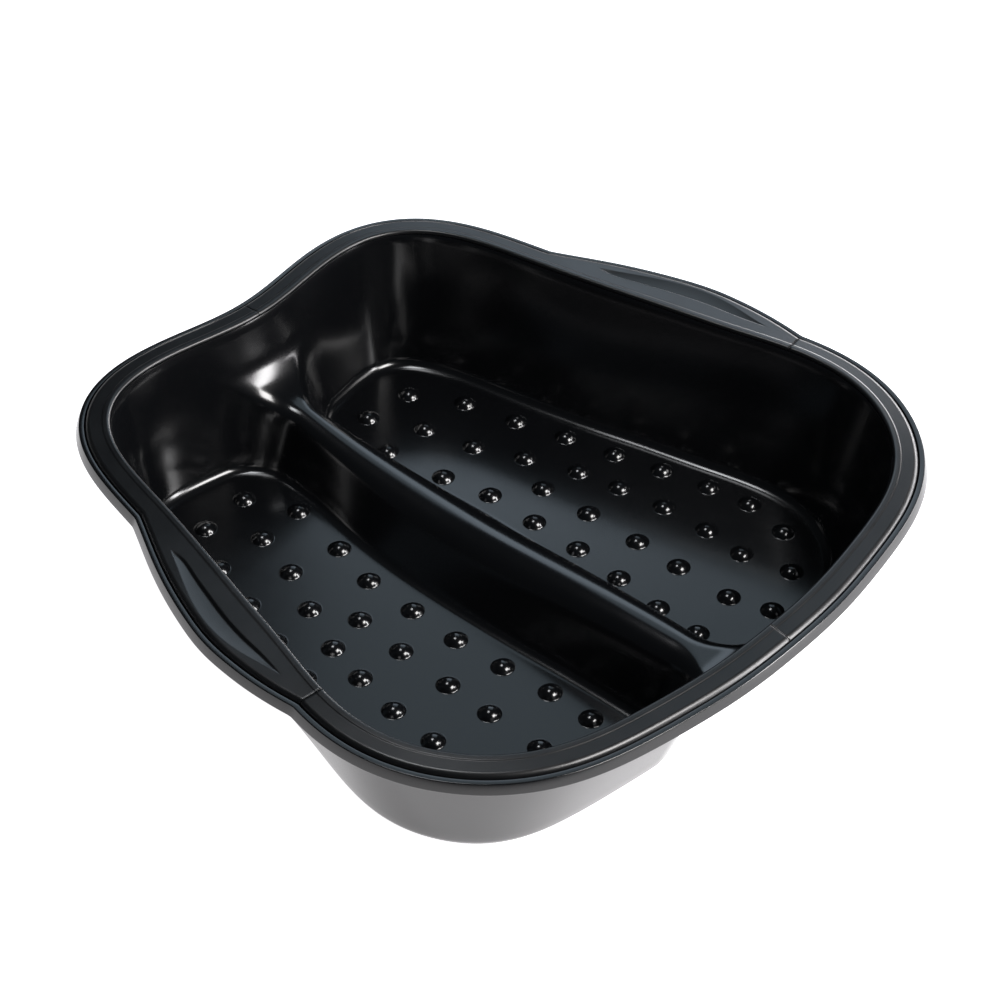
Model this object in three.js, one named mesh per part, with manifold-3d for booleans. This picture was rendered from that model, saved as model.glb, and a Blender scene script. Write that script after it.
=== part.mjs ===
import * as THREE from 'three';
import Module from 'manifold-3d';

const wasm = await Module();
wasm.setup();
const { Manifold, Mesh: ManifoldMesh } = wasm;

// Millimetres. X across, Y from the toe end (-Y) to the heel end (+Y), Z up from the floor the pads stand on.
const RIM_TOP_Z = 100.2; // inner edge of the rim, the highest line of the tub
const RIM_CENTRE_Y = -4;
const MIDDLE_Y = 0.356; // sets the whole part so that its box is centred on Y = 0
const RIM_SERIES = [200.17, -3.75, 12.11, 12.62, -14.53, -6.34, -3.19, -4.29, -0.94, 0.24, 0.54, 0.25, 0.26, 0.32, -0.16]; // radius of the rim's inner edge as a cosine series of the angle from +Y
const HANDLE_ANGLES = [0.955, 1.022, 1.123, 1.271, 1.422, 1.52, 1.6, 1.665, 1.735, 1.802, 1.872]; // where the handle flange widens the rim
const HANDLE_EXTRA = [0, 3.3, 7.9, 12.7, 15.3, 16.0, 15.1, 13.2, 10.1, 5.7, 0];
const WELL_FLOOR_Z = -94; // below the rim's inner edge, as all depths are from here on
const LINER_WALL = 2.0;
const SHELL_GAP = 0.4;
const TUB_WALL = 2.0;
const PLATE_GAP = 0.3;
const SEAM_GAP = 0.3;
const RIM_STATIONS = 54; // per half
const RIM_GATHER = 0.4; // how much closer the stations stand at the two ends than on average
const RIDGE_STATIONS = 19;

// Wells: floor corner line of the right well. The first column is the rim angle it faces.
const FLOOR_BY_ANGLE = [
  [0, 33, 160], [0.1, 40, 166.5], [0.2, 48, 172], [0.3, 62, 179.5], [0.4, 80, 185.3], [0.5, 97, 182], [0.6, 109.5, 170],
  [0.7, 117.5, 153], [0.8, 123, 132.5], [1.0, 131.5, 93], [1.2, 139, 57], [1.4, 147.5, 24], [1.6, 156, -10],
  [1.8, 165.5, -46], [2.0, 170.8, -85], [2.1, 168.5, -102], [2.2, 161.5, -119], [2.3, 151.5, -133.5], [2.4, 138, -144.5],
  [2.5, 123, -151.5], [2.6, 107, -155.8], [2.8, 68, -162], [2.92, 50, -161.8], [3.03, 39, -157.5], [Math.PI, 32, -149],
];
// Ridge between the wells: [y along the crest, x and y of the floor corner that faces it], from the toe end to the heel end.
const RIDGE_FACES = [
  [-199.2, 32, -149], [-197.3, 30.3, -145], [-193.8, 28.8, -140.5], [-187.5, 27.8, -136], [-178, 27.2, -131],
  [-163, 26.9, -124], [-140, 27.2, -111], [-112, 28.2, -92], [-80, 30.1, -68], [-45, 32.3, -39],
  [-10, 34, -8], [25, 34.5, 24], [60, 33.8, 56], [92, 31.2, 86], [120, 28.4, 111],
  [143, 26.6, 129], [161, 26.2, 141], [174, 27, 148], [182.6, 28.2, 152], [187.2, 29.6, 155],
  [188.5, 31.2, 157.6], [189.32, 33, 160],
];
const WALL_INSET = [ // how far the floor's outline lies inside the rim, by rim angle
  [0, 15], [0.2, 14.8], [0.363, 13.6], [0.446, 13.4], [0.526, 15], [0.684, 19.4], [0.908, 21.4], [1.259, 21.2], [1.46, 20.2],
  [1.684, 19.7], [1.904, 20.6], [2.043, 22.4], [2.163, 24], [2.29, 25.6], [2.42, 28], [2.548, 30.2], [2.684, 31.4],
  [2.823, 32], [2.98, 32.2], [Math.PI, 32.2],
];
const CREST_DEPTH = [ // ridge top, by y
  [-230, -47], [-199, -48], [-165, -48.6], [-127, -49.4], [-80, -52.3], [-32, -57], [15, -60.8], [60, -61.6], [100, -60.4],
  [139, -56.8], [160, -53.6], [178, -50.2], [195, -47], [220, -43],
];
const CREST_ROUND = [[-230, 15], [-165, 15.5], [-100, 18], [-40, 21], [30, 22], [85, 18.5], [120, 14.5], [150, 12], [220, 12]];
const RIDGE_FOOT = [ // half width of the ridge where it meets the floor, by y
  [-230, 26.5], [-165, 26], [-127, 26.8], [-92, 28.4], [-60, 31], [-25, 33.3], [15, 34.6], [50, 33.6], [85, 29.8],
  [111, 25.6], [129, 23.6], [150, 23], [175, 23], [220, 23],
];
const FLOOR_FILLET = 8;
const WELL_CORNER = 24; // plan radius of the wells' corners beside the ridge
const SADDLE = 26; // radius in which the ridge top runs up into the end walls
const RINGS = 10;

const NUB_RADIUS = 6.6, NUB_HEIGHT = 4.1;
const NUBS = [
  [52.6, 154.4], [86.6, 151.6], [37.9, 122.3], [69.2, 120.3], [104.7, 119.8], [77.6, 86.6], [113.6, 84.2], [44.2, 80.5],
  [91.6, 56.0], [123.5, 51.0], [51.6, 48.1], [77.9, 28.7], [104.4, 23.4], [132.0, 18.0], [51.9, 12.0], [110.4, -4.7],
  [79.8, -6.5], [140.3, -12.9], [52.1, -22.8], [115.4, -35.9], [147.8, -44.0], [80.9, -44.3], [49.7, -56.9], [117.0, -68.0],
  [152.7, -71.9], [80.9, -76.2], [46.2, -89.8], [114.8, -96.3], [146.9, -102.4], [81.2, -113.9], [45.9, -119.7], [122.7, -127.4],
  [89.6, -139.2],
];

const PAD_RADIUS = 12, PAD_TOP = -98.7, PAD_FLOOR = -RIM_TOP_Z;
const PADS = [['heel_inner', 60, 146], ['heel_outer', 95, 150], ['toe_inner', 60, -134], ['toe_outer', 135, -108]];

const SEAM_ANGLE = 1.874; // toe end of each handle
const GRIP = [ // finger groove on each handle: rim angle, inner and outer distance out from the rim's inner edge
  [1.15, 15.6, 15.7], [1.2, 13.9, 17.8], [1.274, 14.5, 20.9], [1.351, 15.3, 23.8], [1.42, 15.9, 25.6], [1.497, 16.3, 26.4],
  [1.55, 16.3, 25.8], [1.6, 15.8, 24.6], [1.665, 14.8, 21.4], [1.71, 13.9, 18], [1.742, 13.4, 15.6], [1.775, 13, 13.1],
];
const GRIP_FLOOR = -2.35;

function rimAt(angle) {
  let r = 0, dr = 0;
  RIM_SERIES.forEach((c, n) => { r += c * Math.cos(n * angle); dr -= c * n * Math.sin(n * angle); });
  const s = Math.sin(angle), c = Math.cos(angle);
  const dx = dr * s + r * c, dy = dr * c - r * s, l = Math.hypot(dx, dy);
  return { x: r * s, y: RIM_CENTRE_Y + r * c, nx: -dy / l, ny: dx / l };
}
function tabulated(keys, values, at) {
  if (at <= keys[0]) return values[0];
  const last = keys.length - 1;
  if (at >= keys[last]) return values[last];
  let i = 0;
  while (keys[i + 1] < at) i += 1;
  const h = keys[i + 1] - keys[i], t = (at - keys[i]) / h;
  const slope = (k) => (k <= 0 ? (values[1] - values[0]) / (keys[1] - keys[0]) : k >= last
    ? (values[last] - values[last - 1]) / (keys[last] - keys[last - 1])
    : (values[k + 1] - values[k - 1]) / (keys[k + 1] - keys[k - 1]));
  const t2 = t * t, t3 = t2 * t;
  return (2 * t3 - 3 * t2 + 1) * values[i] + (t3 - 2 * t2 + t) * h * slope(i) + (3 * t2 - 2 * t3) * values[i + 1] + (t3 - t2) * h * slope(i + 1);
}
function handleExtra(angle) {
  const a = Math.abs(Math.atan2(Math.sin(angle), Math.cos(angle)));
  return Math.max(0, tabulated(HANDLE_ANGLES, HANDLE_EXTRA, a));
}

function stationAngle(i) { // 0 to 2 * RIM_STATIONS goes once round the rim
  const t = i / RIM_STATIONS;
  return Math.PI * t - (RIM_GATHER / 2) * Math.sin(2 * Math.PI * t);
}
const RIM_TABLE = Array.from({ length: 121 }, (_, k) => ({ angle: (Math.PI * k) / 120, ...rimAt((Math.PI * k) / 120) }));
function nearest(x, y) { // the rim angle facing a point, and the point's distance in from the rim
  let angle = 0, best = Infinity;
  for (const p of RIM_TABLE) {
    const d = (x - p.x) ** 2 + (y - p.y) ** 2;
    if (d < best) { best = d; angle = p.angle; }
  }
  for (let k = 0; k < 12; k += 1) {
    const p = rimAt(angle), along = (x - p.x) * p.ny - (y - p.y) * p.nx;
    angle += Math.max(-0.05, Math.min(0.05, along / 190));
  }
  const p = rimAt(angle);
  return [Math.abs(angle), -((x - p.x) * p.nx + (y - p.y) * p.ny)];
}
const columns = new Map();
function at(table, key) {
  if (!columns.has(table)) columns.set(table, [table.map((p) => p[0]), table.map((p) => p[1])]);
  return tabulated(...columns.get(table), key);
}

// Depth of a flank of the given tilt rising out of a level base with a round foot, at distance w inside its foot line.
function corner(w, tilt, base, radius) {
  const tangent = radius * Math.tan(tilt / 2);
  if (w < -tangent * Math.cos(tilt)) return base - w * Math.tan(tilt);
  const reach = Math.max(0, Math.min(tangent - w, radius * Math.sin(tilt)));
  return base + radius - Math.sqrt(radius ** 2 - reach ** 2);
}
// Depth of the surface round one foot well: outer wall, ridge flank, their round corners, and the round edge up to the ridge top.
function wellDepth(x, y, u, wallTilt, cap) {
  const foot = at(RIDGE_FOOT, y), top = at(CREST_ROUND, y), q = at(CREST_DEPTH, y) - WELL_FLOOR_Z - top;
  const flank = Math.atan((foot * q + top * Math.sqrt(foot ** 2 + q ** 2 - top ** 2)) / (foot ** 2 - top ** 2));
  const v = x - foot, a = Math.max(WELL_CORNER - u, 0), b = Math.max(WELL_CORNER - v, 0), both = a > 0 && b > 0;
  const w = both ? WELL_CORNER - Math.hypot(a, b) : Math.min(u, v);
  const turn = both ? Math.atan2(a, b) / (Math.PI / 2) : (v < u ? 0 : 1);
  const mix = turn * turn * (3 - 2 * turn), tilt = flank + (wallTilt - flank) * mix;
  const z = corner(w, tilt, WELL_FLOOR_Z, FLOOR_FILLET);
  const r = top * (1 - mix) + 1e-3, over = (z - cap) / Math.tan(tilt), tangent = r * Math.tan(tilt / 2);
  if (over < -tangent * Math.cos(tilt)) return z;
  const reach = Math.max(0, Math.min(tangent - over, r * Math.sin(tilt)));
  return Math.min(cap - r + Math.sqrt(r * r - reach * reach), cap);
}
function insideDepth(x, y) {
  const [angle, d] = nearest(x, y), span = at(WALL_INSET, angle), wallTilt = Math.atan(-WELL_FLOOR_Z / span), u = d - span;
  const crest = at(CREST_DEPTH, y), cap = corner(u + (crest - WELL_FLOOR_Z) / Math.tan(wallTilt), wallTilt, crest, SADDLE);
  return Math.min(0, wellDepth(x, y, u, wallTilt, cap), wellDepth(-x, y, u, wallTilt, cap));
}
// Stops along a sampled profile of [distance, depth]: both ends, the rest gathered where it bends.
function stops(samples, count, evenness) {
  const weight = [0];
  let last = null;
  for (let i = 1; i < samples.length; i += 1) {
    const dt = samples[i][0] - samples[i - 1][0], dz = samples[i][1] - samples[i - 1][1], lean = Math.atan2(dz, dt);
    weight.push(weight[i - 1] + (last === null ? 0 : Math.abs(lean - last)) + evenness * Math.hypot(dt, dz));
    last = lean;
  }
  const total = weight[weight.length - 1];
  return Array.from({ length: count }, (_, k) => {
    const target = (total * k) / (count - 1);
    let i = 1;
    while (i < weight.length - 1 && weight[i] < target) i += 1;
    const f = (target - weight[i - 1]) / (weight[i] - weight[i - 1]);
    return samples[i - 1][0] + f * (samples[i][0] - samples[i - 1][0]);
  });
}

// One half of the liner's inner face, as stations round the well and rings from the rim or crest down to the floor.
function wellGrid(startDepth) {
  const stations = [];
  const fa = FLOOR_BY_ANGLE.map((p) => p[0]), fx = FLOOR_BY_ANGLE.map((p) => p[1]), fy = FLOOR_BY_ANGLE.map((p) => p[2]);
  for (let i = 0; i <= RIM_STATIONS; i += 1) {
    const angle = stationAngle(i), p = rimAt(angle);
    stations.push({ x: i === 0 || i === RIM_STATIONS ? 0 : p.x, y: p.y, fx: tabulated(fa, fx, angle), fy: tabulated(fa, fy, angle), rim: p });
  }
  const toe = rimAt(Math.PI).y, heel = rimAt(0).y, middle = [];
  for (let k = 0; k <= 400; k += 1) { const y = toe + ((heel - toe) * k) / 400; middle.push([y, insideDepth(0, y)]); }
  const ry = RIDGE_FACES.map((p) => p[0]), rx = RIDGE_FACES.map((p) => p[1]), rf = RIDGE_FACES.map((p) => p[2]);
  for (const y of stops(middle, RIDGE_STATIONS + 2, 0.012).slice(1, -1)) {
    stations.push({ x: 0, y, fx: tabulated(ry, rx, y), fy: tabulated(ry, rf, y), rim: null });
  }
  return stations.map(({ x, y, fx: footX, fy: footY, rim }) => {
    const length = Math.hypot(footX - x, footY - y), ux = (footX - x) / length, uy = (footY - y) / length, samples = [];
    for (let t = 0; t < length + 40; t += 0.5) {
      const z = insideDepth(x + ux * t, y + uy * t);
      samples.push([t, z]);
      if (z < WELL_FLOOR_Z + 0.01) break;
    }
    const ring = stops(samples, RINGS, 0.006).map((t) => new THREE.Vector3(x + ux * t, y + uy * t, insideDepth(x + ux * t, y + uy * t)));
    ring[RINGS - 1].z = WELL_FLOOR_Z;
    if (rim) ring[0].z = startDepth;
    return { ring, rim };
  });
}

// Both halves of one face of a nested shell. Each is the liner's inner face moved outward by one constant.
function shellFace(stations, offset, rimDepth) {
  const rings = stations[0].ring.length, n = stations.length, points = [], faces = [];
  const index = (side, i, j) => (side * n + (i % n)) * rings + j;
  for (const side of [1, -1]) for (const st of stations) for (const p of st.ring) points.push(new THREE.Vector3(p.x * side, p.y, p.z));
  for (const side of [0, 1]) {
    for (let i = 0; i < n; i += 1) {
      for (let j = 0; j < rings - 1; j += 1) {
        const a = index(side, i, j), b = index(side, i + 1, j), c = index(side, i + 1, j + 1), d = index(side, i, j + 1);
        faces.push(...(side ? [[a, b, c], [a, c, d]] : [[a, c, b], [a, d, c]]));
      }
    }
    const loop = stations.map((st) => new THREE.Vector2(st.ring[rings - 1].x * (side ? -1 : 1), st.ring[rings - 1].y));
    const up = !THREE.ShapeUtils.isClockWise(loop);
    const order = stations.map((_, i) => index(side, i, rings - 1));
    if (!up) { loop.reverse(); order.reverse(); }
    for (const t of THREE.ShapeUtils.triangulateShape(loop, [])) faces.push([order[t[0]], order[t[1]], order[t[2]]]);
  }
  const normals = points.map(() => new THREE.Vector3());
  const ab = new THREE.Vector3(), ac = new THREE.Vector3();
  for (const f of faces) {
    ab.subVectors(points[f[1]], points[f[0]]); ac.subVectors(points[f[2]], points[f[0]]); ab.cross(ac);
    for (const k of f) normals[k].add(ab);
  }
  for (let i = 0; i < n; i += 1) { // the two halves share their middle line
    const p = stations[i].ring[0];
    if (Math.abs(p.x) < 1e-9) {
      const a = index(0, i, 0), b = index(1, i, 0), sum = normals[a].clone().add(normals[b]);
      sum.x = 0; normals[a].copy(sum); normals[b].copy(sum);
    }
  }
  const moved = points.map((p, k) => p.clone().addScaledVector(normals[k].normalize(), -offset));
  for (const side of [0, 1]) for (let i = 0; i < n; i += 1) {
    const rim = stations[i].rim, sign = side ? -1 : 1;
    for (let j = rings - 1; j < rings; j += 1) moved[index(side, i, j)].z = WELL_FLOOR_Z - offset;
    if (!rim) continue;
    const end = i === 0 || i === RIM_STATIONS;
    moved[index(side, i, 0)].set(end ? 0 : sign * (rim.x + rim.nx * offset), rim.y + rim.ny * offset, rimDepth);
  }
  return { points: moved, faces, edge: [0, 1].map((side) => stations.map((_, i) => index(side, i, 0)).slice(0, RIM_STATIONS + 1)) };
}

function sectionPoint(angle, s, z, stretch) {
  const p = rimAt(angle), out = s + (stretch ? handleExtra(angle) : 0);
  const middle = Math.abs(Math.sin(angle)) < 1e-9;
  return new THREE.Vector3(middle ? 0 : p.x + p.nx * out, p.y + p.ny * out, z);
}

// A nested shell: its upper face, its flange section [distance out, depth, follows the handle], then its lower face.
function nestedShell(upper, lower, section) {
  const points = [], faces = [];
  const add = (list) => { const base = points.length; points.push(...list); return base; };
  const u = add(upper.points), l = add(lower.points);
  for (const f of upper.faces) faces.push(f.map((k) => k + u));
  for (const f of lower.faces) faces.push([f[2] + l, f[1] + l, f[0] + l]);
  const count = 2 * RIM_STATIONS;
  const edge = (face, base, i) => (i <= RIM_STATIONS ? face.edge[0][i] : face.edge[1][count - i]) + base;
  const rows = [Array.from({ length: count }, (_, i) => edge(upper, u, i))];
  for (const [s, z, stretch] of section) {
    const base = add(Array.from({ length: count }, (_, i) => sectionPoint(stationAngle(i), s, z, stretch)));
    rows.push(Array.from({ length: count }, (_, i) => base + i));
  }
  rows.push(Array.from({ length: count }, (_, i) => edge(lower, l, i)));
  for (let r = 0; r < rows.length - 1; r += 1) for (let i = 0; i < count; i += 1) {
    const j = (i + 1) % count;
    faces.push([rows[r][i], rows[r + 1][j], rows[r + 1][i]], [rows[r][i], rows[r][j], rows[r + 1][j]]);
  }
  return { points, faces };
}
function ringSolid(section) {
  const count = 2 * RIM_STATIONS, points = [], faces = [];
  for (let i = 0; i < count; i += 1) for (const [s, z, stretch] of section) points.push(sectionPoint(stationAngle(i), s, z, stretch));
  const m = section.length;
  for (let i = 0; i < count; i += 1) for (let k = 0; k < m; k += 1) {
    const a = i * m + k, b = i * m + ((k + 1) % m), c = ((i + 1) % count) * m + ((k + 1) % m), d = ((i + 1) % count) * m + k;
    faces.push([a, b, c], [a, c, d]);
  }
  return { points, faces };
}

function welded({ points, faces }) {
  const seen = new Map(), map = [], kept = [];
  points.forEach((p, i) => {
    const key = `${Math.round(p.x * 1e4)},${Math.round(p.y * 1e4)},${Math.round(p.z * 1e4)}`;
    if (!seen.has(key)) { seen.set(key, kept.length); kept.push(p); }
    map[i] = seen.get(key);
  });
  const tris = faces.map((f) => f.map((k) => map[k])).filter(([a, b, c]) => a !== b && b !== c && a !== c);
  let volume = 0;
  for (const [a, b, c] of tris) volume += kept[a].dot(new THREE.Vector3().crossVectors(kept[b], kept[c])) / 6;
  return { kept, tris: volume < 0 ? tris.map(([a, b, c]) => [a, c, b]) : tris };
}
function solid(raw) {
  const { kept, tris } = welded(raw);
  return new Manifold(new ManifoldMesh({
    numProp: 3,
    vertProperties: new Float32Array(kept.flatMap((p) => [p.x, p.y + MIDDLE_Y, p.z + RIM_TOP_Z])),
    triVerts: new Uint32Array(tris.flat()),
  }));
}
function fromGeometry(geometry, matrix) {
  const g = geometry.index ? geometry.toNonIndexed() : geometry;
  if (matrix) g.applyMatrix4(matrix);
  const pos = g.getAttribute('position'), points = [], faces = [];
  for (let i = 0; i < pos.count; i += 1) points.push(new THREE.Vector3().fromBufferAttribute(pos, i));
  for (let i = 0; i < pos.count; i += 3) faces.push([i, i + 1, i + 2]);
  return solid({ points, faces });
}
function lathe(profile, segments, x, y) {
  const g = new THREE.LatheGeometry([...profile, profile[0]].map(([r, z]) => new THREE.Vector2(r, z)), segments);
  return fromGeometry(g, new THREE.Matrix4().makeTranslation(x, y, 0).multiply(new THREE.Matrix4().makeRotationX(Math.PI / 2)));
}
function mesh(name, manifold, material) {
  const m = manifold.getMesh(), g = new THREE.BufferGeometry();
  g.setAttribute('position', new THREE.BufferAttribute(new Float32Array(m.vertProperties), 3));
  g.setIndex(new THREE.BufferAttribute(new Uint32Array(m.triVerts), 1));
  g.computeVertexNormals();
  const out = new THREE.Mesh(g, material);
  out.name = name;
  return out;
}

const glossBlack = new THREE.MeshStandardMaterial({ name: 'gloss_black_plastic', color: 0x08090a, roughness: 0.16, metalness: 0 });
const padRubber = new THREE.MeshStandardMaterial({ name: 'pad_rubber', color: 0x16171a, roughness: 0.85, metalness: 0 });

const group = new THREE.Group();
group.name = 'pedicure_foot_bath';

// Liner: wells, ridge, massage nubs and the flange it hangs by.
const stations = wellGrid(-2.7);
let liner = solid(nestedShell(shellFace(stations, 0, -2.7), shellFace(stations, LINER_WALL, -4.7), [[12.8, -4.0, true], [12.8, -5.6, true]]));
const domes = [];
for (const side of [1, -1]) for (const [x, y] of NUBS) {
  domes.push(lathe([[0, NUB_HEIGHT + WELL_FLOOR_Z], [4.5, NUB_HEIGHT * 0.64 + WELL_FLOOR_Z], [NUB_RADIUS, WELL_FLOOR_Z - 0.6], [0, WELL_FLOOR_Z - 0.6]], 8, side * x, y));
}
liner = liner.add(Manifold.union(domes));
group.add(mesh('liner_basin', liner, glossBlack));

// Tub: the outer shell and the ledge that frames the rim covers, hollow underneath.
const tub = solid(nestedShell(shellFace(stations, LINER_WALL + SHELL_GAP, -5.0), shellFace(stations, LINER_WALL + SHELL_GAP + TUB_WALL, -7.0), [
  [12.9, -5.9, true], [14.9, -6.0, true], [14.9, -3.4, true], [15.4, -2.95, true], [17.6, -3.0, true], [18.15, -3.4, true], [20.1, -8.3, true],
  [20.1, -8.9, true], [19.8, -9.2, true], [18.5, -9.2, true], [17.0, -6.4, true], [16.2, -6.4, true], [15.95, -8.0, true], [15.6, -8.1, true], [7.5, -7.6, false],
]));
const pads = [];
for (const [place, x, y] of PADS) for (const [hand, side] of [['right', 1], ['left', -1]]) {
  pads.push([`floor_pad_${place}_${hand}`, lathe([[0, PAD_TOP], [PAD_RADIUS, PAD_TOP], [PAD_RADIUS, PAD_FLOOR + 0.6], [PAD_RADIUS - 0.6, PAD_FLOOR], [0, PAD_FLOOR]], 20, side * x, y)]);
}
group.add(mesh('outer_tub', tub, glossBlack));

// Rim covers: one ring section, parted at the four seams.
const coverRing = solid(ringSolid([
  [0, -2.4, false], [0, -1.9, false], [0.6, -0.6, false], [1.9, 0, false], [4.0, -0.1, false], [5.0, -0.45, false], [11.4, -1.1, true], [13.4, -2.1, true], [14.4, -3.9, true], [14.5, -5.6, true], [13.1, -5.6, true], [13.1, -3.7, true],
]));
const seam = rimAt(SEAM_ANGLE);
function seamBlock(side, toeSide) { // everything on one side of the handle's end, in one half
  const along = new THREE.Vector2(seam.nx, seam.ny), across = new THREE.Vector2(-seam.ny, seam.nx);
  const shift = (toeSide ? -1 : 1) * SEAM_GAP / 2, far = (toeSide ? -1 : 1) * 600;
  const base = new THREE.Vector2(seam.x, seam.y);
  const at = (a, b) => base.clone().addScaledVector(along, a).addScaledVector(across, b);
  const corners = [at(-320, shift), at(300, shift), at(300, far), at(-320, far)];
  const shape = new THREE.Shape(corners.map((c) => new THREE.Vector2(side * c.x, c.y)));
  const g = new THREE.ExtrudeGeometry(shape, { depth: 40, bevelEnabled: false });
  return fromGeometry(g, new THREE.Matrix4().makeTranslation(0, 0, -30));
}
function halfBlock(side) {
  const g = new THREE.BoxGeometry(400, 700, 60);
  return fromGeometry(g, new THREE.Matrix4().makeTranslation(side * (200 + SEAM_GAP / 2), 0, 0));
}
for (const [hand, side] of [['right', 1], ['left', -1]]) {
  const edge = (column, sign) => GRIP.map((row) => {
    const p = rimAt(row[0]);
    return new THREE.Vector2(side * (p.x + p.nx * row[column]), p.y + p.ny * row[column]);
  }).sort((a, b) => sign * (a.y - b.y));
  const grip = new THREE.Shape([...new THREE.SplineCurve(edge(1, -1)).getPoints(22), ...new THREE.SplineCurve(edge(2, 1)).getPoints(22)]);
  const groove = fromGeometry(new THREE.ExtrudeGeometry(grip, { depth: 12, bevelEnabled: false }), new THREE.Matrix4().makeTranslation(0, 0, GRIP_FLOOR));
  const half = coverRing.intersect(halfBlock(side));
  group.add(mesh(`rim_cover_handle_${hand}`, half.intersect(seamBlock(side, false)).subtract(groove), glossBlack));
  group.add(mesh(`rim_cover_toe_${hand}`, half.intersect(seamBlock(side, true)), glossBlack));
}
for (const [name, body] of pads) group.add(mesh(name, body, padRubber));

export default group;
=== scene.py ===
import math

import bpy
import numpy as np
from mathutils import Matrix, Vector
from mathutils.geometry import delaunay_2d_cdt


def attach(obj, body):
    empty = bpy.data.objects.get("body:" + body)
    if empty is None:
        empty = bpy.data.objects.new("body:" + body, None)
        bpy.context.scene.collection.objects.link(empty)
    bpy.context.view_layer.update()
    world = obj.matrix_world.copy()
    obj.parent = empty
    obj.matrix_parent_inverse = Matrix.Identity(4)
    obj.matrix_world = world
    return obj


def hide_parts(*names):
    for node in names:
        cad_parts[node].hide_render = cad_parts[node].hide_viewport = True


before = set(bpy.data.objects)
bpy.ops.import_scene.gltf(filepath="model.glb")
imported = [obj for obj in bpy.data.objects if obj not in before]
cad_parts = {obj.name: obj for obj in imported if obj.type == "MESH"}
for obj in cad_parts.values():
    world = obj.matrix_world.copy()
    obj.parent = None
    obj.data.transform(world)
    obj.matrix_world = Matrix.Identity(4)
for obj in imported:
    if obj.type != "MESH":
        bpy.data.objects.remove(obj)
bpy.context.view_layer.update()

# Millimetres. Depths are below the rim's inner edge.
RIM_TOP = 100.2
MIDDLE_Y = 0.356
RIM_CENTRE_Y = -4.0
RIM_SERIES = np.array([200.17, -3.75, 12.11, 12.62, -14.53, -6.34, -3.19, -4.29, -0.94, 0.24, 0.54, 0.25, 0.26, 0.32, -0.16])
FLOOR = -94.0
LINER_WALL, SHELL_GAP, TUB_WALL = 2.0, 0.4, 2.0
SEAM_ANGLE, SEAM_GAP = 1.874, 0.3
INSET = [(0, 15.0), (0.2, 14.8), (0.363, 13.6), (0.446, 13.4), (0.526, 15.0), (0.684, 19.4), (0.908, 21.4), (1.259, 21.2), (1.46, 20.2), (1.684, 19.7), (1.904, 20.6), (2.043, 22.4), (2.163, 24.0), (2.29, 25.6), (2.42, 28.0), (2.548, 30.2), (2.684, 31.4), (2.823, 32.0), (2.98, 32.2), (math.pi, 32.2)]
CREST = [(-230, -47.0), (-199, -48.0), (-165, -48.6), (-127, -49.4), (-80, -52.3), (-32, -57.0), (15, -60.8), (60, -61.6), (100, -60.4), (139, -56.8), (160, -53.6), (178, -50.2), (195, -47.0), (220, -43.0)]
FOOT = [(-230, 26.5), (-165, 26.0), (-127, 26.8), (-92, 28.4), (-60, 31.0), (-25, 33.3), (15, 34.6), (50, 33.6), (85, 29.8), (111, 25.6), (129, 23.6), (150, 23.0), (175, 23.0), (220, 23.0)]
CREST_RADIUS = [(-230, 15.0), (-165, 15.5), (-100, 18.0), (-40, 21.0), (30, 22.0), (85, 18.5), (120, 14.5), (150, 12.0), (220, 12.0)]
FLOOR_FILLET = 8.0
WELL_CORNER, SADDLE = 24.0, 26.0
HANDLE = [(0.955, 0.0), (1.022, 3.3), (1.123, 7.9), (1.271, 12.7), (1.422, 15.3), (1.52, 16.0), (1.6, 15.1), (1.665, 13.2), (1.735, 10.1), (1.802, 5.7), (1.872, 0.0)]
NUB_RADIUS, NUB_HEIGHT, NUB_SKIRT = 6.6, 4.1, 8.6
NUBS = [
    (52.6, 154.4), (86.6, 151.6), (37.9, 122.3), (69.2, 120.3), (104.7, 119.8), (77.6, 86.6), (113.6, 84.2), (44.2, 80.5),
    (91.6, 56.0), (123.5, 51.0), (51.6, 48.1), (77.9, 28.7), (104.4, 23.4), (132.0, 18.0), (51.9, 12.0), (110.4, -4.7),
    (79.8, -6.5), (140.3, -12.9), (52.1, -22.8), (115.4, -35.9), (147.8, -44.0), (80.9, -44.3), (49.7, -56.9), (117.0, -68.0),
    (152.7, -71.9), (80.9, -76.2), (46.2, -89.8), (114.8, -96.3), (146.9, -102.4), (81.2, -113.9), (45.9, -119.7), (122.7, -127.4),
    (89.6, -139.2),
]
PADS = [("heel_inner", 60, 146), ("heel_outer", 95, 150), ("toe_inner", 60, -134), ("toe_outer", 135, -108)]
PAD_RADIUS, PAD_TOP = 12.0, -98.7


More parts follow.
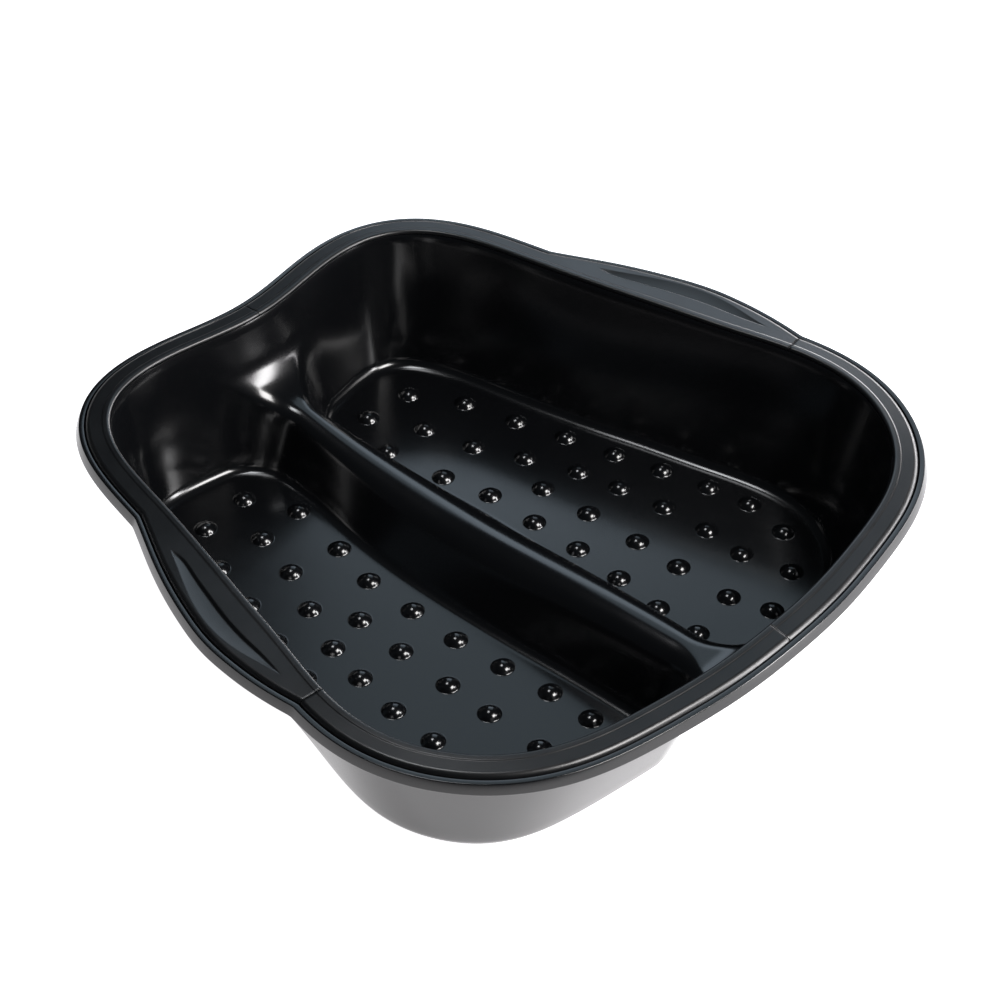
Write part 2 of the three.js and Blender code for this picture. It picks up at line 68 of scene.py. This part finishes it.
def spline(table, clamped):
    """A cubic spline through a table of (key, value), as a function of an array."""
    k = np.array([p[0] for p in table], float)
    v = np.array([p[1] for p in table], float)
    n = len(k)
    h = np.diff(k)
    a = np.zeros((n, n))
    b = np.zeros(n)
    for i in range(1, n - 1):
        a[i, i - 1], a[i, i], a[i, i + 1] = h[i - 1], 2 * (h[i - 1] + h[i]), h[i]
        b[i] = 6 * ((v[i + 1] - v[i]) / h[i] - (v[i] - v[i - 1]) / h[i - 1])
    if clamped:
        a[0, 0], a[0, 1], b[0] = 2 * h[0], h[0], 6 * (v[1] - v[0]) / h[0]
        a[-1, -1], a[-1, -2], b[-1] = 2 * h[-1], h[-1], -6 * (v[-1] - v[-2]) / h[-1]
    else:
        a[0, 0] = a[-1, -1] = 1
    m = np.linalg.solve(a, b)

    def at(x):
        x = np.clip(np.asarray(x, float), k[0], k[-1])
        i = np.clip(np.searchsorted(k, x) - 1, 0, n - 2)
        t, hi = x - k[i], h[i]
        s = hi - t
        return (m[i] * s**3 + m[i + 1] * t**3) / (6 * hi) + (v[i] / hi - m[i] * hi / 6) * s + (v[i + 1] / hi - m[i + 1] * hi / 6) * t

    return at


inset_at = spline(INSET, True)
crest_at = spline(CREST, False)
foot_at = spline(FOOT, False)
handle_spline = spline(HANDLE, False)
crest_radius_at = spline(CREST_RADIUS, False)


def folded(angle):
    return np.abs(np.arctan2(np.sin(angle), np.cos(angle)))


def inset(angle):
    return inset_at(folded(angle))


def handle(angle):
    a = folded(angle)
    return np.where((a > HANDLE[0][0]) & (a < HANDLE[-1][0]), np.maximum(handle_spline(a), 0), 0.0)


def rim(angle):
    """The rim's inner edge and its outward normal."""
    angle = np.asarray(angle, float)
    n = np.arange(len(RIM_SERIES))
    na = angle[..., None] * n
    r = np.cos(na) @ RIM_SERIES
    dr = -np.sin(na) @ (RIM_SERIES * n)
    s, c = np.sin(angle), np.cos(angle)
    dx, dy = dr * s + r * c, dr * c - r * s
    length = np.hypot(dx, dy)
    return np.stack([r * s, RIM_CENTRE_Y + r * c], -1), np.stack([-dy / length, dx / length], -1)


def nearest_angle(x, y):
    a = np.arctan2(x, y - RIM_CENTRE_Y)
    table = np.linspace(-math.pi, math.pi, 721)
    p, _ = rim(table)
    best = np.full(x.shape, 1e18)
    start = a.copy()
    for k in range(0, 721, 3):
        d = (x - p[k, 0]) ** 2 + (y - p[k, 1]) ** 2
        w = d < best
        best = np.where(w, d, best)
        start = np.where(w, table[k], start)
    for _ in range(12):
        p0, n0 = rim(start)
        t = np.stack([n0[..., 1], -n0[..., 0]], -1)
        along = (x - p0[..., 0]) * t[..., 0] + (y - p0[..., 1]) * t[..., 1]
        start = start + np.clip(along / 190.0, -0.05, 0.05)
    p0, n0 = rim(start)
    d = -((x - p0[..., 0]) * n0[..., 0] + (y - p0[..., 1]) * n0[..., 1])
    return start, d


def corner(w, tilt, base=FLOOR, radius=FLOOR_FILLET):
    """Height of a flank of the given tilt rising out of a level base with a round foot, at distance w inside its foot line."""
    tangent = radius * np.tan(tilt / 2)
    reach = np.clip(tangent - w, 0, radius * np.sin(tilt))
    z_arc = base + radius - np.sqrt(radius**2 - reach**2)
    return np.where(w < -tangent * np.cos(tilt), base - w * np.tan(tilt), z_arc)


def flank(y):
    """Slope of the ridge's straight flanks: they meet the floor at the foot line and run tangent into the round crest."""
    f, r = foot_at(y), crest_radius_at(y)
    q = crest_at(y) - FLOOR - r
    return (f * q + r * np.sqrt(f * f + q * q - r * r)) / (f * f - r * r)


def well(x, y, u, wall_tilt, cap):
    """Depth of the surface round one foot well: outer wall, ridge flank, their round corners, and the round edge up to the ridge's top."""
    v = x - foot_at(y)
    a, b = np.maximum(WELL_CORNER - u, 0), np.maximum(WELL_CORNER - v, 0)
    both = (a > 0) & (b > 0)
    w = np.where(both, WELL_CORNER - np.hypot(a, b), np.minimum(u, v))
    turn = np.where(both, np.arctan2(a, b) / (math.pi / 2), np.where(v < u, 0.0, 1.0))
    mix = turn * turn * (3 - 2 * turn)
    ridge_tilt = np.arctan(flank(y))
    tilt = ridge_tilt + (wall_tilt - ridge_tilt) * mix
    z = corner(w, tilt)
    r = crest_radius_at(y) * (1 - mix) + 1e-3
    over = (z - cap) / np.tan(tilt)
    tangent = r * np.tan(tilt / 2)
    reach = np.clip(tangent - over, 0, r * np.sin(tilt))
    edge = cap - r + np.sqrt(r * r - reach * reach)
    return np.where(over < -tangent * np.cos(tilt), z, np.minimum(edge, cap))


def inside(x, y, angle=None, d=None):
    """Depth of the liner's inner face: two wells with round corners, and a round-topped ridge between them that runs up into the end walls."""
    if angle is None:
        angle, d = nearest_angle(x, y)
    span = inset(angle)
    wall_tilt = np.arctan(-FLOOR / span)
    u = d - span
    crest = crest_at(y)
    cap = corner(u + (crest - FLOOR) / np.tan(wall_tilt), wall_tilt, crest, SADDLE)
    z = np.minimum(well(x, y, u, wall_tilt, cap), well(-x, y, u, wall_tilt, cap))
    return np.minimum(z, 0)


def seat(points, offset=0.0):
    """Metres in the row frame from millimetres here."""
    p = np.array(points, float)
    p[:, 1] += MIDDLE_Y
    p[:, 2] += RIM_TOP
    return p / 1000


def piece(name, points, faces, material, body, replaces, smooth=True):
    me = bpy.data.meshes.new(name)
    me.from_pydata(seat(points).tolist(), [], [tuple(int(k) for k in f) for f in faces])
    me.validate(verbose=False)
    me.update()
    ob = bpy.data.objects.new(f"{name}_visual", me)
    bpy.context.scene.collection.objects.link(ob)
    me.materials.append(material)
    if smooth:
        me.polygons.foreach_set("use_smooth", np.ones(len(me.polygons), bool))
        me.set_sharp_from_angle(angle=math.radians(55))
    if body:
        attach(ob, body)
    if replaces:
        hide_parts(*replaces)
    return ob


# ---- nested shells -----------------------------------------------------------------------------------------------

def profile_rows(w, walls, arcs):
    """Distances in from the rim at which a wall of inset w is sampled: wall rows, then round corner rows, then the floor."""
    slope = -FLOOR / w
    tilt = np.arctan(slope)
    tangent = FLOOR_FILLET * np.tan(tilt / 2)
    start, stop = w - tangent * np.cos(tilt), w + tangent
    rows = [start * k / walls for k in range(walls)]
    rows += [stop - FLOOR_FILLET * np.sin(tilt * (1 - k / arcs)) for k in range(arcs + 1)]
    rows.append(stop + 1.0)
    return rows


def face(stations, walls, arcs, step_ridge, step_floor, nub_sides):
    """The liner's inner face as one open sheet. Returns points, faces, and the station loop along the rim."""
    angle = np.linspace(0, 2 * math.pi, stations, endpoint=False)
    p, n = rim(angle)
    w = inset(angle)
    rows = profile_rows(w, walls, arcs)
    xs, ys, zs = [], [], []
    for d in rows:
        d = np.broadcast_to(d, angle.shape)
        q = p - n * d[:, None]
        xs.append(q[:, 0])
        ys.append(q[:, 1])
        zs.append(inside(q[:, 0], q[:, 1], angle, d))
    zs[0][:] = 0
    points = [np.stack([np.concatenate(xs), np.concatenate(ys), np.concatenate(zs)], 1)]
    faces = []
    for r in range(len(rows) - 1):
        a = r * stations + np.arange(stations)
        b = r * stations + (np.arange(stations) + 1) % stations
        faces.append(np.stack([a, a + stations, b + stations, b], 1))
    faces = [tuple(f) for f in np.concatenate(faces)]
    last = (len(rows) - 1) * stations
    loop = [last + i for i in range(stations)]
    count = len(rows) * stations

    bound = np.stack([xs[-1], ys[-1]], 1)
    flat = [Vector(v) for v in bound]
    ids = list(loop)
    edges = [(i, (i + 1) % stations) for i in range(stations)]
    extra = []

    def add(x, y, z):
        extra.append((x, y, z))
        return count + len(extra) - 1

    keep_out = []
    if nub_sides:
        sphere = (NUB_RADIUS**2 + NUB_HEIGHT**2) / (2 * NUB_HEIGHT)

        def rise_at(r):
            """A ball cap with a small round skirt where it meets the floor."""
            cap = math.sqrt(max(sphere**2 - r * r, 0)) - (sphere - NUB_HEIGHT)
            k = 1.1
            h = max(k - abs(cap), 0) / k
            return max(cap, 0.0) + h * h * k / 4

        radii = [8.1, 7.7, 7.3, 6.95, 6.6, 6.25, 5.85, 5.3, 4.6, 3.7, 2.6, 1.35]
        for sx in (1, -1):
            for cx, cy in NUBS:
                cx *= sx
                keep_out.append((cx, cy))
                turns = np.linspace(0, 2 * math.pi, nub_sides, endpoint=False)
                base = []
                begin = len(flat)
                for t in turns:
                    x, y = cx + NUB_SKIRT * math.cos(t), cy + NUB_SKIRT * math.sin(t)
                    base.append(add(x, y, 0.0))
                    flat.append(Vector((x, y)))
                    ids.append(base[-1])
                edges += [(begin + i, begin + (i + 1) % nub_sides) for i in range(nub_sides)]
                previous = base
                for r in radii:
                    row = [add(cx + r * math.cos(t), cy + r * math.sin(t), rise_at(r)) for t in turns]
                    for i in range(nub_sides):
                        j = (i + 1) % nub_sides
                        faces.append((previous[i], previous[j], row[j], row[i]))
                    previous = row
                top = add(cx, cy, NUB_HEIGHT)
                for i in range(nub_sides):
                    faces.append((previous[i], previous[(i + 1) % nub_sides], top))

    if extra:  # the nubs stand on the face as it lies under them
        nub = np.array(extra)
        under = inside(nub[:, 0], nub[:, 1])
        extra[:] = [(x, y, z + u) for (x, y, z), u in zip(extra, under)]

    # points inside the last row: close together over the ridge, wide apart over the flat floors
    def spread(step, x0, x1):
        out = []
        y, odd = -200.0, 0
        while y < 200:
            x = x0 + (step / 2 if odd else 0)
            while x < x1:
                out.append((x, y))
                x += step
            y += step * 0.866
            odd ^= 1
        return np.array(out)

    fine = spread(step_ridge, -52, 52)
    wide = spread(step_floor, -180, 180)
    wide = wide[np.abs(wide[:, 0]) > 52 + step_ridge]
    grid = np.concatenate([fine, wide])
    grid[:, 0] += 0.013
    a, d = nearest_angle(grid[:, 0], grid[:, 1])
    wa = inset(a)
    tilt = np.arctan(-FLOOR / wa)
    edge = wa + FLOOR_FILLET * np.tan(tilt / 2) + 1.0
    good = d > edge + np.where(np.abs(grid[:, 0]) < 52, step_ridge, step_floor) * 0.55
    for cx, cy in keep_out:
        good &= np.hypot(grid[:, 0] - cx, grid[:, 1] - cy) > NUB_SKIRT + 0.45 * step_floor
    grid, a, d = grid[good], a[good], d[good]
    gz = inside(grid[:, 0], grid[:, 1], a, d)
    for (x, y), z in zip(grid, gz):
        flat.append(Vector((x, y)))
        ids.append(add(x, y, z))
    out = delaunay_2d_cdt(flat, edges, [], 1, 1e-4)
    assert len(out[0]) == len(flat), "the floor mesh gained or lost points"
    origin = [o[0] for o in out[3]]
    hole = np.array(keep_out) if keep_out else None
    for f in out[2]:
        k = [origin[i] for i in f]
        c = sum((flat[i] for i in k), Vector((0, 0))) / len(k)
        if hole is not None and (np.hypot(hole[:, 0] - c.x, hole[:, 1] - c.y) < NUB_SKIRT * math.cos(math.pi / nub_sides) - 1e-3).any():
            continue
        faces.append(tuple(ids[i] for i in k))
    points.append(np.array(extra))
    points = np.concatenate(points)
    faces = upward(points, faces)
    return points, faces, list(range(stations)), angle


def upward(points, faces):
    out = []
    for f in faces:
        q = points[list(f)]
        area = 0.0
        for i in range(len(f)):
            j = (i + 1) % len(f)
            area += q[i, 0] * q[j, 1] - q[j, 0] * q[i, 1]
        out.append(tuple(f) if area > 0 else tuple(reversed(f)))
    return out


def vertex_normals(points, faces):
    n = np.zeros_like(points)
    tris = []
    for f in faces:
        for k in range(1, len(f) - 1):
            tris.append((f[0], f[k], f[k + 1]))
    t = np.array(tris)
    a, b, c = points[t[:, 0]], points[t[:, 1]], points[t[:, 2]]
    m = np.cross(b - a, c - a)
    for k in range(3):
        np.add.at(n, t[:, k], m)
    return n / np.maximum(np.linalg.norm(n, axis=1), 1e-12)[:, None]


def moved(points, faces, angle, offset, edge_depth):
    """The sheet pushed out by offset along its normals, its rim edge set to edge_depth."""
    n = vertex_normals(points, faces)
    q = points - n * offset
    stations = len(angle)
    p, out = rim(angle)
    q[:stations, 0:2] = p + out * offset
    q[:stations, 2] = edge_depth
    return q


def arc(cx, cz, r, a0, a1, k, stretch):
    return [(cx + r * math.cos(math.radians(a0 + (a1 - a0) * i / k)), cz + r * math.sin(math.radians(a0 + (a1 - a0) * i / k)), stretch) for i in range(k + 1)]


def section_rows(section, angle):
    p, n = rim(angle)
    e = handle(angle)
    rows = []
    for s, z, stretch in section:
        out = s + e * stretch
        rows.append(np.concatenate([p + n * out[:, None], np.full((len(angle), 1), z)], 1))
    return rows


def shell(name, upper, lower, top_faces, low_faces, section, angle, material, body, replaces):
    """A closed shell: upper sheet, flange section outward and back, lower sheet."""
    stations = len(angle)
    blocks = [upper]
    rows = [np.arange(stations)]
    base = len(upper)
    for block in section_rows(section, angle):
        blocks.append(block)
        rows.append(base + np.arange(stations))
        base += stations
    low_base = base
    blocks.append(lower)
    rows.append(low_base + np.arange(stations))
    faces = [tuple(f) for f in top_faces]
    for r in range(len(rows) - 1):
        a, b = rows[r], rows[r + 1]
        for i in range(stations):
            j = (i + 1) % stations
            faces.append((a[i], a[j], b[j], b[i]))
    faces += [tuple(low_base + k for k in reversed(f)) for f in low_faces]
    return piece(name, np.concatenate(blocks), faces, material, body, replaces)


# ---- materials ---------------------------------------------------------------------------------------------------

def node_material(name):
    m = bpy.data.materials.new(name)
    m.use_nodes = True
    nt = m.node_tree
    for n in list(nt.nodes):
        nt.nodes.remove(n)
    out = nt.nodes.new("ShaderNodeOutputMaterial")
    bsdf = nt.nodes.new("ShaderNodeBsdfPrincipled")
    nt.links.new(bsdf.outputs["BSDF"], out.inputs["Surface"])
    return m, nt, bsdf


def noise(nt, coord, scale, detail, rough=0.5):
    n = nt.nodes.new("ShaderNodeTexNoise")
    n.inputs["Scale"].default_value = scale
    n.inputs["Detail"].default_value = detail
    n.inputs["Roughness"].default_value = rough
    nt.links.new(coord, n.inputs["Vector"])
    return n


def ramp(nt, value, low, high, to_low, to_high):
    r = nt.nodes.new("ShaderNodeMapRange")
    r.inputs["From Min"].default_value = low
    r.inputs["From Max"].default_value = high
    r.inputs["To Min"].default_value = to_low
    r.inputs["To Max"].default_value = to_high
    nt.links.new(value, r.inputs["Value"])
    return r.outputs["Result"]


def black_plastic(name, smooth, rough, grain_strength):
    """Injection-moulded plastic: near-black body, faint flow waves centimetres long, a finer grain, and handling haze."""
    m, nt, b = node_material(name)
    coord = nt.nodes.new("ShaderNodeTexCoord").outputs["Object"]
    body = noise(nt, coord, 9.0, 2.0)
    mix = nt.nodes.new("ShaderNodeMix")
    mix.data_type = "RGBA"
    mix.inputs["A"].default_value = (0.0016, 0.0018, 0.0022, 1)
    mix.inputs["B"].default_value = (0.0026, 0.0028, 0.0033, 1)
    nt.links.new(body.outputs["Fac"], mix.inputs["Factor"])
    nt.links.new(mix.outputs["Result"], b.inputs["Base Color"])
    haze = noise(nt, coord, 38.0, 3.0, 0.6)
    nt.links.new(ramp(nt, haze.outputs["Fac"], 0.3, 0.7, smooth, rough), b.inputs["Roughness"])
    b.inputs["IOR"].default_value = 1.5
    flow = noise(nt, coord, 55.0, 1.0)
    grain = noise(nt, coord, 1900.0, 1.0)
    bump_flow = nt.nodes.new("ShaderNodeBump")
    bump_flow.inputs["Strength"].default_value = 0.10
    bump_flow.inputs["Distance"].default_value = 0.00012
    nt.links.new(flow.outputs["Fac"], bump_flow.inputs["Height"])
    bump_grain = nt.nodes.new("ShaderNodeBump")
    bump_grain.inputs["Strength"].default_value = grain_strength
    bump_grain.inputs["Distance"].default_value = 0.00002
    nt.links.new(grain.outputs["Fac"], bump_grain.inputs["Height"])
    nt.links.new(bump_flow.outputs["Normal"], bump_grain.inputs["Normal"])
    nt.links.new(bump_grain.outputs["Normal"], b.inputs["Normal"])
    return m


def rubber():
    m, nt, b = node_material("pad_rubber")
    coord = nt.nodes.new("ShaderNodeTexCoord").outputs["Object"]
    tone = noise(nt, coord, 260.0, 4.0)
    mix = nt.nodes.new("ShaderNodeMix")
    mix.data_type = "RGBA"
    mix.inputs["A"].default_value = (0.018, 0.018, 0.019, 1)
    mix.inputs["B"].default_value = (0.034, 0.034, 0.035, 1)
    nt.links.new(tone.outputs["Fac"], mix.inputs["Factor"])
    nt.links.new(mix.outputs["Result"], b.inputs["Base Color"])
    b.inputs["Roughness"].default_value = 0.78
    b.inputs["Specular IOR Level"].default_value = 0.3
    grain = noise(nt, coord, 2400.0, 2.0)
    bump = nt.nodes.new("ShaderNodeBump")
    bump.inputs["Strength"].default_value = 0.4
    bump.inputs["Distance"].default_value = 0.00005
    nt.links.new(grain.outputs["Fac"], bump.inputs["Height"])
    nt.links.new(bump.outputs["Normal"], b.inputs["Normal"])
    return m


PLASTIC = black_plastic("gloss_black_plastic", 0.155, 0.185, 0.08)
SATIN = black_plastic("rim_black_plastic", 0.30, 0.36, 0.25)
RUBBER = rubber()

# ---- liner -------------------------------------------------------------------------------------------------------

STATIONS = 640
top_points, top_faces, _, angle = face(STATIONS, 20, 12, 2.0, 3.0, 32)
START = -2.7
n_top = len(angle)
top_points[:n_top, 2] = START

low_points, low_faces, _, _ = face(STATIONS, 14, 8, 3.0, 12.0, 0)


def rounded(corner_list):
    return [c for part in corner_list for c in part]


liner_low = moved(low_points, low_faces, angle, LINER_WALL, START - 2.0)
liner = shell(
    "liner_basin", top_points, liner_low, top_faces, low_faces,
    rounded([[(0.6, START - 0.02, 0)], [(12.5, START - 1.25, 1)], [(12.8, START - 1.5, 1)], [(12.8, START - 2.6, 1)], [(12.5, START - 2.9, 1)], [(4.0, START - 2.12, 0)]]),
    angle, PLASTIC, "liner", ["liner_basin"],
)

# ---- outer tub ---------------------------------------------------------------------------------------------------

tub_top = moved(low_points, low_faces, angle, LINER_WALL + SHELL_GAP, -5.0)
tub_low = moved(low_points, low_faces, angle, LINER_WALL + SHELL_GAP + TUB_WALL, -7.0)
ledge = rounded([
    [(12.9, -5.9, 1)], [(14.7, -6.0, 1)], [(14.9, -5.8, 1)], [(14.9, -3.5, 1)], arc(15.4, -3.45, 0.5, 175, 98, 4, 1),
    [(17.5, -2.98, 1)], arc(17.6, -3.6, 0.62, 88, 26, 6, 1), [(18.9, -5.6, 1)], [(20.08, -8.2, 1)], arc(19.6, -8.6, 0.55, 20, -75, 5, 1),
    [(18.6, -9.2, 1)], [(18.3, -9.0, 1)], [(17.1, -6.6, 1)], [(16.9, -6.4, 1)], [(16.3, -6.4, 1)], [(16.1, -6.6, 1)], [(15.95, -7.9, 1)],
    [(15.6, -8.1, 1)], [(7.5, -7.6, 0)],
])
tub = shell("outer_tub", tub_top, tub_low, low_faces, low_faces, ledge, angle, PLASTIC, "tub", ["outer_tub"])

# ---- rim covers --------------------------------------------------------------------------------------------------

GROOVE_IN = spline([(1.150, 15.6), (1.2, 13.9), (1.274, 14.5), (1.39, 15.6), (1.519, 16.4), (1.627, 15.5), (1.69, 14.2), (1.775, 13.0)], False)
GROOVE_OUT = spline([(1.150, 15.7), (1.21, 18.2), (1.351, 23.8), (1.497, 26.4), (1.6, 24.6), (1.665, 21.4), (1.742, 15.6), (1.775, 13.1)], False)
GROOVE_DEPTH = 2.1


def groove(angle, s):
    """How far the finger groove dips the handle's top face."""
    a = folded(angle)
    g_in, g_out = GROOVE_IN(a), GROOVE_OUT(a)
    width = np.where((a > 1.150) & (a < 1.775), np.maximum(g_out - g_in, 1e-3), 1e-3)
    depth = GROOVE_DEPTH * np.sqrt(np.clip(width / 8.5, 0, 1)) * (width > 0.2)
    t = (s - g_in) / width
    wall = np.clip((s - g_in) / 1.6 + 0.5, 0, 1)
    wall = wall * wall * (3 - 2 * wall)
    rise = np.clip(1 - t, 0, 1)
    return depth * wall * rise * (1 - 0.25 * rise)


def cover(name, a0, a1, count, node):
    angle = np.linspace(a0, a1, count)
    step = 0.12 / 190.0
    sign = 1 if a1 > a0 else -1
    angle = np.concatenate([[a0, a0 + sign * step], angle[1:-1], [a1 - sign * step, a1]])
    p, n = rim(angle)
    e = handle(angle)
    across = 56
    rows = []
    rows += [(np.full_like(angle, s), np.full_like(angle, z)) for s, z in [(0.15, -2.4), (0.0, -2.25), (0.0, -2.0)]]
    rows += [(np.full_like(angle, s), np.full_like(angle, z)) for s, z, _ in arc(1.9, -1.9, 1.9, 175, 93, 9, 0)]
    wide = 11.0 + e
    for k in range(1, across + 1):
        s = 2.0 + (wide - 2.0) * k / across
        step_down = np.clip((s - 3.9) / 1.1, 0, 1)
        z = -0.8 * (s - 2.0) / (wide - 2.0) - 0.3 * step_down * step_down * (3 - 2 * step_down)
        rows.append((s, z - groove(angle, s)))
    for s, z, _ in arc(10.85, -4.7, 3.65, 80, 5, 10, 1):
        rows.append((s + e, np.full_like(angle, z)))
    for s, z in [(14.5, -5.35), (14.35, -5.55), (14.1, -5.6), (13.3, -5.6), (13.1, -5.4), (13.1, -3.85)]:
        rows.append((s + e, np.full_like(angle, z)))
    for k in range(1, 9):
        f = 1 - k / 9
        s = 0.15 + (13.1 + e - 0.15) * f
        rows.append((s, -2.4 - 1.3 * f + 0 * s))
    m = len(rows)
    S = np.stack([r[0] for r in rows], 1)
    Z = np.stack([r[1] for r in rows], 1)
    # chamfered ends: the first and last stations are the section drawn in a little
    for end in (0, -1):
        ds = np.roll(S[end], -1) - np.roll(S[end], 1)
        dz = np.roll(Z[end], -1) - np.roll(Z[end], 1)
        length = np.maximum(np.hypot(ds, dz), 1e-9)
        S[end] += dz / length * 0.1
        Z[end] -= ds / length * 0.1
    P = np.stack([p[:, 0, None] + n[:, 0, None] * S, p[:, 1, None] + n[:, 1, None] * S, Z], -1).reshape(-1, 3)
    faces = []
    for i in range(len(angle) - 1):
        for k in range(m):
            a, b = i * m + k, i * m + (k + 1) % m
            faces.append((a, a + m, b + m, b) if sign > 0 else (a, b, b + m, a + m))
    lo = list(range(m))
    hi = [(len(angle) - 1) * m + k for k in range(m)]
    faces.append(tuple(lo) if sign > 0 else tuple(reversed(lo)))
    faces.append(tuple(reversed(hi)) if sign > 0 else tuple(hi))
    return piece(node, P, faces, SATIN, "liner", [node])


half_gap = SEAM_GAP / 2 / 195.0
N_HANDLE, N_TOE = ((330, 200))
cover("handle_right", half_gap, SEAM_ANGLE - half_gap, N_HANDLE, "rim_cover_handle_right")
cover("toe_right", SEAM_ANGLE + half_gap, math.pi - half_gap, N_TOE, "rim_cover_toe_right")
cover("handle_left", -half_gap, -SEAM_ANGLE + half_gap, N_HANDLE, "rim_cover_handle_left")
cover("toe_left", -SEAM_ANGLE - half_gap, -math.pi + half_gap, N_TOE, "rim_cover_toe_left")

# ---- pads --------------------------------------------------------------------------------------------------------

for place, x, y in PADS:
    for hand, side in (("right", 1), ("left", -1)):
        profile = [(PAD_RADIUS - 0.3, PAD_TOP), (PAD_RADIUS, PAD_TOP - 0.3), (PAD_RADIUS, -RIM_TOP + 0.6), (PAD_RADIUS - 0.18, -RIM_TOP + 0.2), (PAD_RADIUS - 0.6, -RIM_TOP)]
        profile += [(9.0, -RIM_TOP), (8.7, -RIM_TOP + 0.35), (8.1, -RIM_TOP + 0.35), (7.8, -RIM_TOP), (4.4, -RIM_TOP), (4.1, -RIM_TOP + 0.35), (3.5, -RIM_TOP + 0.35), (3.2, -RIM_TOP)]
        sides, pts, faces = 48, [], []
        for r, z in profile:
            for k in range(sides):
                t = 2 * math.pi * k / sides
                pts.append((side * x + r * math.cos(t), y + r * math.sin(t), z))
        for i in range(len(profile) - 1):
            for k in range(sides):
                j = (k + 1) % sides
                faces.append((i * sides + k, (i + 1) * sides + k, (i + 1) * sides + j, i * sides + j))
        faces.append(tuple(range(sides)))
        faces.append(tuple(reversed(range((len(profile) - 1) * sides, len(profile) * sides))))
        node = f"floor_pad_{place}_{hand}"
        piece(node, pts, faces, RUBBER, "tub", [node], smooth=False)

# ---- stage -------------------------------------------------------------------------------------------------------

# A back-lit white shooting table: the surface glows a little, so it stays white right up to the part.
floor_material, nt, b = node_material("pale_floor")
b.inputs["Base Color"].default_value = (0.60, 0.60, 0.61, 1)
b.inputs["Roughness"].default_value = 0.7
b.inputs["Emission Color"].default_value = (1.0, 0.985, 1.0, 1)
b.inputs["Emission Strength"].default_value = 1.08
bpy.ops.mesh.primitive_plane_add(size=12, location=(0, 0, -0.0004))
floor = bpy.context.object
floor.name = "floor"
floor.data.materials.append(floor_material)


def softbox(name, azimuth, elevation, distance, size, radiance, colour=(1, 1, 1), size_y=None):
    """A rectangular soft light seen from the part in a given direction, of a given brightness."""
    az, el = math.radians(azimuth), math.radians(elevation)
    at = Vector((math.cos(el) * math.cos(az), math.cos(el) * math.sin(az), math.sin(el))) * distance
    data = bpy.data.lights.new(name, "AREA")
    data.shape = "RECTANGLE"
    data.size = size
    data.size_y = size_y or size
    data.energy = radiance * 4 * data.size * data.size_y
    data.color = colour
    ob = bpy.data.objects.new(name, data)
    bpy.context.scene.collection.objects.link(ob)
    ob.location = at
    ob.rotation_euler = (-at).to_track_quat("-Z", "Y").to_euler()
    return ob


world = bpy.data.worlds.new("studio")
bpy.context.scene.world = world
world.use_nodes = True
world.node_tree.nodes["Background"].inputs["Color"].default_value = (0.70, 0.80, 0.90, 1)
world.node_tree.nodes["Background"].inputs["Strength"].default_value = 0.04

softbox("key", -80, 47, 1.6, 0.66, 21.0, (1.0, 0.98, 0.97), 0.5)
softbox("side", -59, 20, 1.6, 0.26, 24.0, (1.0, 0.99, 1.0), 1.0)
softbox("side_low", -10, 11, 1.7, 2.6, 10.0, (1.0, 0.98, 1.0), 0.4)
softbox("back", 36, 33, 2.2, 1.1, 1.65, (0.72, 0.86, 1.0), 0.68)
softbox("back_high", 34, 51, 2.2, 1.1, 0.75, (0.70, 0.87, 1.0), 0.68)
softbox("top", 100, 79, 1.6, 0.4, 12.0, (0.95, 0.97, 1.0), 0.36)

camera = bpy.data.cameras.new("camera")
camera.sensor_width = 36.0
camera.lens = 89.6
camera.clip_start, camera.clip_end = 0.05, 50
eye = bpy.data.objects.new("camera", camera)
bpy.context.scene.collection.objects.link(eye)
UNIT = 0.95
right, down, ahead = Vector((0.6831, -0.7303, 0)), Vector((-0.4850, -0.4537, -0.7477)), Vector((0.5460, 0.5108, -0.6641))
location = -(right * -18.1 + down * -34.9 + ahead * 1475.9)
eye.location = Vector((location.x * UNIT, (location.y + 16.15) * UNIT + MIDDLE_Y, location.z * UNIT + RIM_TOP)) / 1000
eye.matrix_world = Matrix.Translation(eye.location) @ Matrix((
    (right.x, -down.x, -ahead.x), (right.y, -down.y, -ahead.y), (right.z, -down.z, -ahead.z))).to_4x4()
bpy.context.scene.camera = eye
bpy.context.scene.view_settings.view_transform = "Standard"
